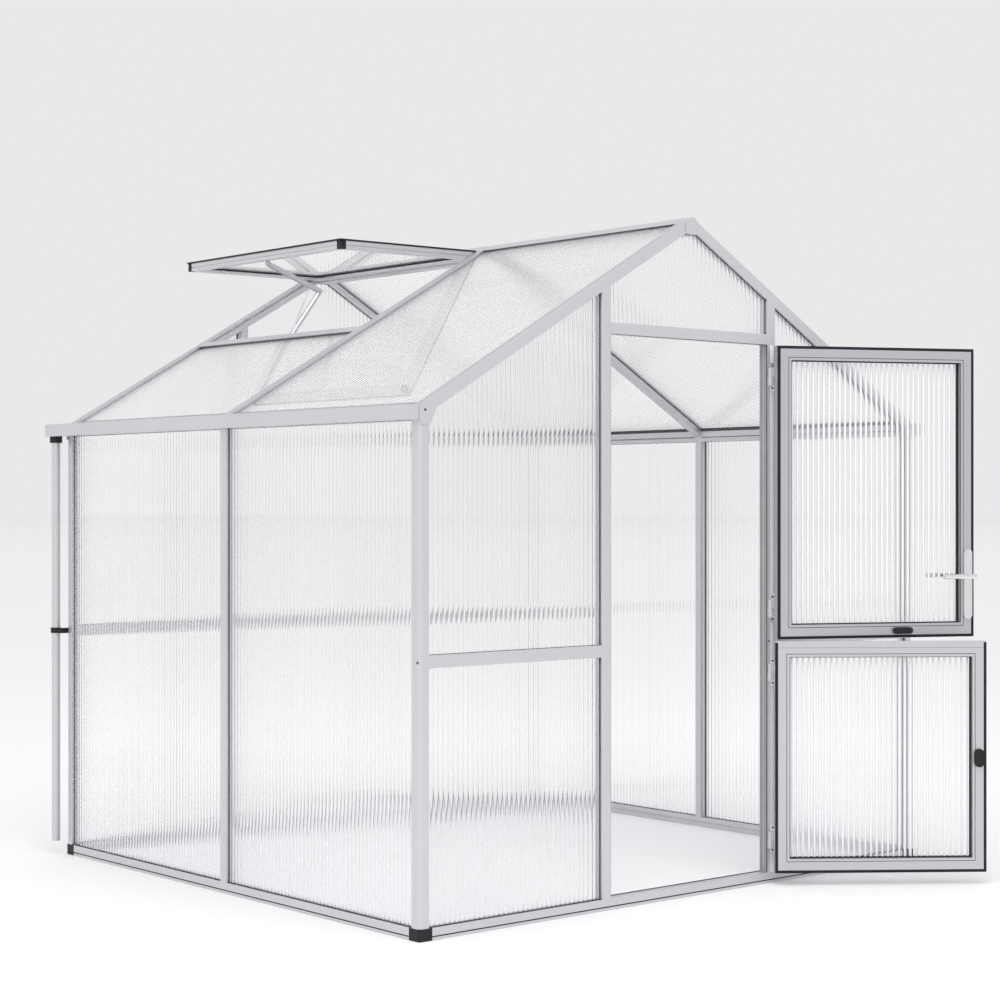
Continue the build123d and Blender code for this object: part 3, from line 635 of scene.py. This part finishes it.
# The outline of the dark strips that paint the shade in each sill's outer groove.
painted_groove_shade = ((0.0092, 0.0150), (0.0128, 0.0150), (0.0128, 0.0175), (0.0092, 0.0175))
rubber = moulding("rubber_seal", (0.010, 0.010, 0.011, 1.0), (0.020, 0.020, 0.022, 1.0), 0.15)


def foot_strip(outline):
    return swept_strip([(x, y, sill_top) for x, y in outline], foot_rise)


sill_seals_and_groove_shade = []
# Dark strips in the front and back sills' outer grooves: painted shade.
for y, way in ((0, -1), (house_length, 1)):
    corners = [(-sill_end, y + way * out, z) for z, out in painted_groove_shade]
    sill_seals_and_groove_shade.append(swept_strip(corners, (2 * sill_end, 0, 0)))
front_foot = front_plane - half_sheet
back_foot = back_plane + half_sheet
for side in (-1, 1):
    corners = [(side * (side_sill_line + out), side_sill_end, z) for z, out in painted_groove_shade]
    sill_seals_and_groove_shade.append(swept_strip(corners, (0, house_length - 2 * side_sill_end, 0)))
    x = side * (side_plane + half_sheet)
    sill_seals_and_groove_shade.append(foot_strip(corners_of(x, bay_edges[0][0], x + side * foot_width, bay_edges[1][1])))
    near, far = side * post_edge, side * jamb_edge
    sill_seals_and_groove_shade.append(foot_strip(corners_of(near, front_foot, far, front_foot - foot_width)))
    sill_seals_and_groove_shade.append(foot_strip(corners_of(near, back_foot, far, back_foot + foot_width)))
sill_seals_and_groove_shade.append(foot_strip(corners_of(-door_edge, back_foot, door_edge, back_foot + foot_width)))
fit_piece("sill_seals_and_groove_shade", sill_seals_and_groove_shade, "house", rubber)

# Doorway seals: a thin black lip along both jambs and under the lintel, and a strip along the sill's inner top edge.
# They are pushed into the bars, and the shut leaves stop just short of them.
door_top = 1.890
door_rise = (0, 0, door_top - sill_top)
door_span = (2 * door_edge, 0, 0)
lip = ((0, -0.0185), (0, -0.0140), (0.0012, -0.0150), (0.0012, -0.0175))
sill_lip = ((0, 0.0150), (0, 0.0190), (0.002, 0.0185), (0.002, 0.0155))


def jamb_strip(profile, side):
    """A strip up a jamb's reveal: its profile says how proud it stands and where it lies through the wall."""
    return swept_strip([(side * (door_edge - proud), y, sill_top) for proud, y in profile], door_rise)


door_seals = [jamb_strip(lip, side) for side in (-1, 1)]
door_seals.append(swept_strip([(-door_edge, y, door_top - proud) for proud, y in lip], door_span))
door_seals.append(swept_strip([(-door_edge, y, sill_top + proud) for proud, y in sill_lip], door_span))
fit_piece("doorway_seals", door_seals, "house", rubber)

# Reveal and jamb strips: flat plastic strips pressed onto the jambs. The two grey ones up each reveal are painted
# shade that darkens the reveals, and the pale one up the right jamb's front face, under the hinge plates, is painted
# light that brightens the face the open upper leaf shades.
stop_proud = 0.0008
# Grey of the reveal strips: painted shade on the reveals.
reveal_shade_grey = moulding("grey_reveal_painted_shade", (0.26, 0.26, 0.275, 1.0), (0.34, 0.34, 0.355, 1.0), 0.1)
reveal_shade_strips = []
for side in (-1, 1):
    for near, far in ((-0.0130, -0.0010), (0.0010, 0.0180)):
        profile = ((0, near), (0, far), (stop_proud, far - stop_proud), (stop_proud, near + stop_proud))
        reveal_shade_strips.append(jamb_strip(profile, side))
fit_piece("reveal_painted_shade_strips", reveal_shade_strips, "house", reveal_shade_grey)
# Pale colour of the strip on the right jamb's front face: painted light on a face the open leaf shades.
pale_painted_light = moulding("pale_painted_light_strip", (0.84, 0.84, 0.86, 1.0), (0.93, 0.93, 0.95, 1.0), 0.1)
outline = ((0.3925, -0.0190), (0.4085, -0.0190), (0.4080, -0.0196), (0.3930, -0.0196))
jamb_painted_light_strip = swept_strip([(x, y, sill_top) for x, y in outline], door_rise)
fit_piece("jamb_painted_light_strip", [jamb_painted_light_strip], "house", pale_painted_light)

# Screws: small dark pan heads with a hexagon socket, at the eave plates, on the posts where the rails end,
# and on the jamb between the two leaves.
head_radius = 0.0038
head_depth = 0.0018
bar_face = 0.019
dark_steel = aluminium(
    "dark_screw_steel", "z", 0.0, (0.10, 0.10, 0.105, 1.0), (0.06, 0.06, 0.065, 1.0), 0.3, 0.45, 0.9
)


def screw_head():
    """One head standing on the origin along Z: a bevelled disc with a socket pressed into it."""
    bpy.ops.object.select_all(action="DESELECT")
    bpy.ops.mesh.primitive_cylinder_add(
        vertices=18, radius=head_radius, depth=head_depth, location=(0, 0, head_depth / 2)
    )
    head = bpy.context.active_object
    apply_place()
    for face in head.data.polygons:
        face.select = face.normal.z > 0.9
    bpy.ops.object.mode_set(mode="EDIT")
    bpy.ops.mesh.select_mode(type="FACE")
    bpy.ops.mesh.bevel(offset=0.0007, segments=3)
    bpy.ops.object.mode_set(mode="OBJECT")
    for face in head.data.polygons:
        face.select = face.normal.z > 0.9 and len(face.vertices) > 4
    bpy.ops.object.mode_set(mode="EDIT")
    bpy.ops.mesh.inset(thickness=0.0013, depth=0.0)
    bpy.ops.mesh.extrude_region_move(TRANSFORM_OT_translate={"value": (0, 0, -0.0009)})
    bpy.ops.object.mode_set(mode="OBJECT")
    bpy.ops.object.shade_smooth_by_angle(angle=radians(35))
    return head


def screw_at(pattern, place, way):
    """A copy of the head with its own mesh, set at a place and facing a way."""
    copy = pattern.copy()
    copy.data = pattern.data.copy()
    bpy.context.collection.objects.link(copy)
    copy.matrix_world = Matrix.Translation(place) @ Vector(way).to_track_quat("Z", "Y").to_matrix().to_4x4()
    select_only(copy)
    apply_place()
    return copy


pattern = screw_head()
jamb_screw = (0.386, -bar_face, 0.850)
plate_x, plate_face, plate_height = 1.159, 0.022, 1.619
post_screw_out, post_screw_height = 0.0103, 0.8486
frame_screws = [screw_at(pattern, jamb_screw, (0, -1, 0))]
for side in (-1, 1):
    for y, way in ((-plate_face, -1), (house_length + plate_face, 1)):
        frame_screws.append(screw_at(pattern, (side * plate_x, y, plate_height), (0, way, 0)))
    for y in (-post_screw_out, house_length + post_screw_out):
        frame_screws.append(screw_at(pattern, (side * half_width, y, post_screw_height), (side, 0, 0)))
bpy.data.objects.remove(pattern)
fit_piece("frame_screws", frame_screws, "house", dark_steel)

# Roof vent: a small aluminium sash with black corner pieces, hinged at the ridge and held open by a folding opener.
# Its sheet's chambers run from the hinge to the free edge, and black trim runs round the sash.
finish_bars(bar_x, "vent_sash_rails")
finish_bars(black_plastic, "vent_corner_pieces")
finish_bars(bar_z, "vent_opener")
sash_low, sash_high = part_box("vent_sheet")
sash_width = sash_high.y - sash_low.y
sash_length = 0.6
sash_tilt = Matrix.Rotation(radians(-0.4), 4, "Y")
lying = Matrix(((0, 0, 1, 0), (1, 0, 0, 0), (0, 1, 0, 0), (0, 0, 0, 1)))
corner = Matrix.Translation((-sash_width / 2, 0, -sash_length / 2))
place = Matrix.Translation((sash_low + sash_high) / 2) @ sash_tilt @ lying @ corner
glaze("vent_hollow_sheet", "vent_sheet", "house", [hollow_sheet(sash_width, sash_length, [], place, 1, roof_chamber)])
sash_hinge = Vector((-0.0303, 0, ridge_line - ridge_edge * tan(roof_pitch) - 0.006))
sash_place = Matrix.Translation(sash_hinge) @ sash_tilt


def sash_ring(near, far, left, right, height, depth, width):
    """A ring round the sash, from near to far of its hinge; height and depth are upward."""
    corners = [sash_place @ Vector((x, y, height)) for x, y in corners_of(near, left, far, right)]
    return swept_strip(corners, (0, 0, depth), width)


sash_rings = (
    (-0.640, -0.004, 1.081, 2.102, 0.0, 0.006, 0.012),
    (-0.608, -0.028, 1.112, 2.071, -0.005, 0.004, seal_width),
    (-0.608, -0.028, 1.112, 2.071, -0.013, -0.006, seal_width),
)
fit_piece("vent_edge_trim", [sash_ring(*ring) for ring in sash_rings], "house", rubber)

# Stable door: two leaves of wider aluminium bars with a black seal round the inner face, hung on the right jamb.
# Each leaf holds one hollow sheet with milky ribs between its chambers, in black rubber seals, with a dark ring on
# its inner face that is painted shade.
hinge = Vector((0.3805, -0.031, 0))
upper_open = 153.5
lower_open = 142.0
leaf_edge = 0.372
leaf_bar = 0.05


def swung(angle):
    """A leaf's turn about the hinge line."""
    return Matrix.Translation(hinge) @ Matrix.Rotation(radians(angle), 4, "Z") @ Matrix.Translation(-hinge)


# The leaves' bars are one alloy in two shades: the upper leaf's darker silver is painted shade and the lower leaf's
# lighter silver is painted light, for how light falls on each leaf.
for leaf, angle, leaf_silver_painted_lighting, leaf_dull_painted_lighting in (
    ("upper", upper_open, (0.530, 0.533, 0.572, 1.0), (0.465, 0.468, 0.506, 1.0)),
    ("lower", lower_open, (0.600, 0.603, 0.632, 1.0), (0.530, 0.533, 0.562, 1.0)),
):
    upright = aluminium("aluminium_" + leaf + "_leaf_upright_painted_lighting", "z", 0.0, leaf_silver_painted_lighting, leaf_dull_painted_lighting)
    across = aluminium("aluminium_" + leaf + "_leaf_across_painted_lighting", "x", angle, leaf_silver_painted_lighting, leaf_dull_painted_lighting)
    finish_bars(upright, leaf + "_leaf_stiles")
    finish_bars(across, leaf + "_leaf_rails")
finish_bars(rubber, "upper_leaf_gasket", "lower_leaf_gasket")
pane_chamber = (0.0134, 0.0048, 0.0006, 0.0003)
rib_width = flute_pitch - pane_chamber[0] - 0.0008
rib_depth = 0.0046
rib_round = 0.0012
milky_rib = moulding("milky_rib", (0.93, 0.935, 0.94, 1.0), (0.97, 0.972, 0.975, 1.0), 0.05)


def pane_ribs(width, height, place):
    """The milky ribs between a pane's chambers: one rib with rounded edges, repeated across the pane."""
    count, first = flute_row(width)
    rib = add_box((first + flute_pitch / 2, 0, height / 2), (rib_width, rib_depth, height - 2 * end_wall))
    for edge in rib.data.edges:
        ends = [rib.data.vertices[number].co for number in edge.vertices]
        edge.select = abs(ends[0].z - ends[1].z) > height / 2
    bpy.ops.object.mode_set(mode="EDIT")
    bpy.ops.mesh.select_mode(type="EDGE")
    bpy.ops.mesh.bevel(offset=rib_round, segments=2)
    bpy.ops.object.mode_set(mode="OBJECT")
    repeat_across(rib, count - 1)
    rib.matrix_world = place
    apply_place()
    return rib


# Rings round each pane: how far outside the opening, where through the leaf, depth and width. The third, a dark line
# 11 mm out on the inner face, is painted shade.
pane_rings = (
    (0, -0.004, 0.003, 0.003),
    (0, 0.0160, 0.0025, 0.0018),
    (0.011, 0.0161, 0.0014, 0.0020),
    (0, -0.012, -0.004, 0.003),
)
opening_edge = leaf_edge - leaf_bar
pane_width = 2 * (opening_edge + tuck)
for leaf, angle, low, high in (("upper", upper_open, 0.859, 1.884), ("lower", lower_open, 0.044, 0.848)):
    low += leaf_bar
    high -= leaf_bar
    body = leaf + "_leaf"
    turned = swung(angle)
    pane_height = high - low + 2 * tuck
    pane_place = turned @ Matrix.Translation((-pane_width / 2, front_plane, low - tuck))
    sheet = hollow_sheet(pane_width, pane_height, [], pane_place, 1, pane_chamber)
    glaze(body + "_pane", body + "_sheet", body, [sheet])
    fit_piece(body + "_pane_ribs", [pane_ribs(pane_width, pane_height, pane_place)], body, milky_rib)
    pane_seals_and_shade_line = []
    for outside, y, depth, width in pane_rings:
        outline = corners_of(-opening_edge - outside, low - outside, opening_edge + outside, high + outside)
        corners = [turned @ Vector((x, y, z)) for x, z in outline]
        pane_seals_and_shade_line.append(swept_strip(corners, turned.to_3x3() @ Vector((0, depth, 0)), width))
    fit_piece(body + "_pane_seal_and_shade_line", pane_seals_and_shade_line, body, rubber)

# Hinges, latches and handle: pressed aluminium hinges, black turn latches, a bright lever on long back plates.
# The lock's bolt stands a little proud of the upper leaf's free stile, with a slanted face.
bright_metal = aluminium(
    "bright_handle", "z", 0.0, (0.80, 0.80, 0.81, 1.0), (0.72, 0.72, 0.73, 1.0), 0.16, 0.26, 1.0
)
finish_bars(bar_z, "upper_leaf_hinges", "lower_leaf_hinges", "jamb_hinges")
finish_bars(black_plastic, "upper_leaf_latch", "lower_leaf_latch")
finish_bars(bright_metal, "handle_plates", "lever_handle")
bolt_foot = 0.9915
bolt_rise = (0, 0, 0.037)
outline = ((-leaf_edge, -0.012), (-leaf_edge, 0.006), (-0.3757, 0.006), (-0.3740, -0.012))
corners = [swung(upper_open) @ Vector((x, y, bolt_foot)) for x, y in outline]
fit_piece("lock_bolt", [swept_strip(corners, bolt_rise)], "upper_leaf", bright_metal)

# Hinge plates: thin pressed strips behind each hinge, one on the jamb and one on the leaf, with clipped corners.
# Three screws hold each of them.
plate_half = 0.050
plate_clip = 0.006
plate_depth = 0.0022
plate_screw_rises = (-0.039, 0.020, 0.039)
jamb_plate = (0.3895, 0.4150)
leaf_plate = (0.3660, 0.3380)
pattern = screw_head()
plates = {"house": [], "upper_leaf": [], "lower_leaf": []}
plate_screws = {"house": [], "upper_leaf": [], "lower_leaf": []}
for body, angle, heights in (
    ("upper_leaf", upper_open, (0.966, 1.778)),
    ("lower_leaf", lower_open, (0.154, 0.741)),
):
    for height in heights:
        for carrier, turned, (near, far) in (
            ("house", Matrix.Identity(4), jamb_plate),
            (body, swung(angle), leaf_plate),
        ):
            outward = turned.to_3x3() @ Vector((0, -1, 0))
            inward = plate_clip if far > near else -plate_clip
            outline = [
                (near, -plate_half), (far - inward, -plate_half), (far, plate_clip - plate_half),
                (far, plate_half - plate_clip), (far - inward, plate_half), (near, plate_half),
            ]
            corners = [turned @ Vector((x, -bar_face, height + rise)) for x, rise in outline]
            plates[carrier].append(swept_strip(corners, outward * plate_depth))
            for rise in plate_screw_rises:
                seat = turned @ Vector(((near + far) / 2, -bar_face - plate_depth, height + rise))
                plate_screws[carrier].append(screw_at(pattern, seat, outward))
bpy.data.objects.remove(pattern)
for carrier in plates:
    fit_piece(carrier + "_hinge_plates", plates[carrier], carrier, bright_metal)
    fit_piece(carrier + "_hinge_screws", plate_screws[carrier], carrier, dark_steel)

# Studio: a pale endless floor under a light sky, one wide soft lamp above, and the camera at the photograph's view.
# The floor darkens with distance to meet the sky, which is grey behind the house and a little dim at the front right.
view_turn = radians(40.523)
view_way = (sin(view_turn), cos(view_turn), 0)
floor_end = 160.0
bpy.ops.object.select_all(action="DESELECT")
bpy.ops.mesh.primitive_plane_add(size=400.0, location=(0, 0, -0.0005))
floor = bpy.context.active_object
floor.name = "floor"
floor_paint = bpy.data.materials.new("floor_white")
floor_paint.use_nodes = True
floor_nodes = floor_paint.node_tree.nodes
floor_join = floor_paint.node_tree.links.new
floor_surface = floor_nodes["Principled BSDF"]
floor_surface.inputs["Roughness"].default_value = 0.9
floor_surface.inputs["Specular IOR Level"].default_value = 0.1
floor_place = floor_nodes.new("ShaderNodeTexCoord")
floor_reach = floor_nodes.new("ShaderNodeVectorMath")
floor_reach.operation = "DOT_PRODUCT"
floor_reach.inputs[1].default_value = view_way
floor_fade = floor_nodes.new("ShaderNodeMapRange")
floor_fade.inputs["From Max"].default_value = floor_end
floor_shade = floor_nodes.new("ShaderNodeValToRGB")
shades = floor_shade.color_ramp.elements
shades.remove(shades[1])
shades[0].position = 2.0 / floor_end
shades[0].color = (0.98, 0.98, 0.98, 1.0)
for reach, shade in ((10.0, 0.955), (16.0, 0.948), (44.0, 0.938), (144.0, 0.885)):
    shades.new(reach / floor_end).color = (shade, shade, shade, 1.0)
floor_join(floor_place.outputs["Object"], floor_reach.inputs[0])
floor_join(floor_reach.outputs["Value"], floor_fade.inputs["Value"])
floor_join(floor_fade.outputs["Result"], floor_shade.inputs["Fac"])
floor_join(floor_shade.outputs["Color"], floor_surface.inputs["Base Color"])
floor.data.materials.append(floor_paint)

sky = bpy.data.worlds.new("studio")
sky.use_nodes = True
sky_nodes = sky.node_tree.nodes
sky_join = sky.node_tree.links.new
sky_way = sky_nodes.new("ShaderNodeTexCoord")
level = sky_nodes.new("ShaderNodeVectorMath")
level.operation = "MULTIPLY"
level.inputs[1].default_value = (1, 1, 0)
unit = sky_nodes.new("ShaderNodeVectorMath")
unit.operation = "NORMALIZE"
sky_join(sky_way.outputs["Generated"], level.inputs[0])
sky_join(level.outputs[0], unit.inputs[0])


def sky_sector(way, wide, narrow, colour):
    """A mix that turns to a colour towards a way, fully within the narrow angle and not at all past the wide one."""
    toward = sky_nodes.new("ShaderNodeVectorMath")
    toward.operation = "DOT_PRODUCT"
    toward.inputs[1].default_value = way
    share = sky_nodes.new("ShaderNodeMapRange")
    share.interpolation_type = "SMOOTHSTEP"
    share.inputs["From Min"].default_value = cos(radians(wide))
    share.inputs["From Max"].default_value = cos(radians(narrow))
    mix = sky_nodes.new("ShaderNodeMix")
    mix.data_type = "RGBA"
    mix.inputs["B"].default_value = colour
    sky_join(unit.outputs[0], toward.inputs[0])
    sky_join(toward.outputs["Value"], share.inputs["Value"])
    sky_join(share.outputs["Result"], mix.inputs["Factor"])
    return mix


behind = sky_sector(view_way, 75, 14, (0.815, 0.815, 0.822, 1.0))
behind.inputs["A"].default_value = (1.0, 1.0, 1.0, 1.0)
front_right = sky_sector((0.5, -0.866, 0), 80, 20, (0.88, 0.88, 0.885, 1.0))
sky_join(behind.outputs["Result"], front_right.inputs["A"])
sky_join(front_right.outputs["Result"], sky_nodes["Background"].inputs["Color"])
bpy.context.scene.world = sky

bpy.ops.object.light_add(type="AREA", location=(-2.5, -2.5, 6.5))
lamp = bpy.context.active_object
lamp.data.shape = "DISK"
lamp.data.size = 6.0
lamp.data.energy = 190.0
lamp.rotation_euler = (Vector((0, 1, 0.6)) - lamp.location).to_track_quat("-Z", "Y").to_euler()

bpy.ops.object.camera_add(location=(-5.1906, -5.0882, 1.3340), rotation=(radians(90), 0, -view_turn))
camera = bpy.context.active_object
camera.data.lens = 76.595
camera.data.sensor_width = 36.0
camera.data.shift_y = 0.00326
bpy.context.scene.camera = camera

bpy.context.scene.view_settings.view_transform = "Standard"
cycles = bpy.context.scene.cycles
cycles.max_bounces = 64
cycles.transmission_bounces = 64
cycles.glossy_bounces = 64
cycles.transparent_max_bounces = 40
cycles.diffuse_bounces = 2
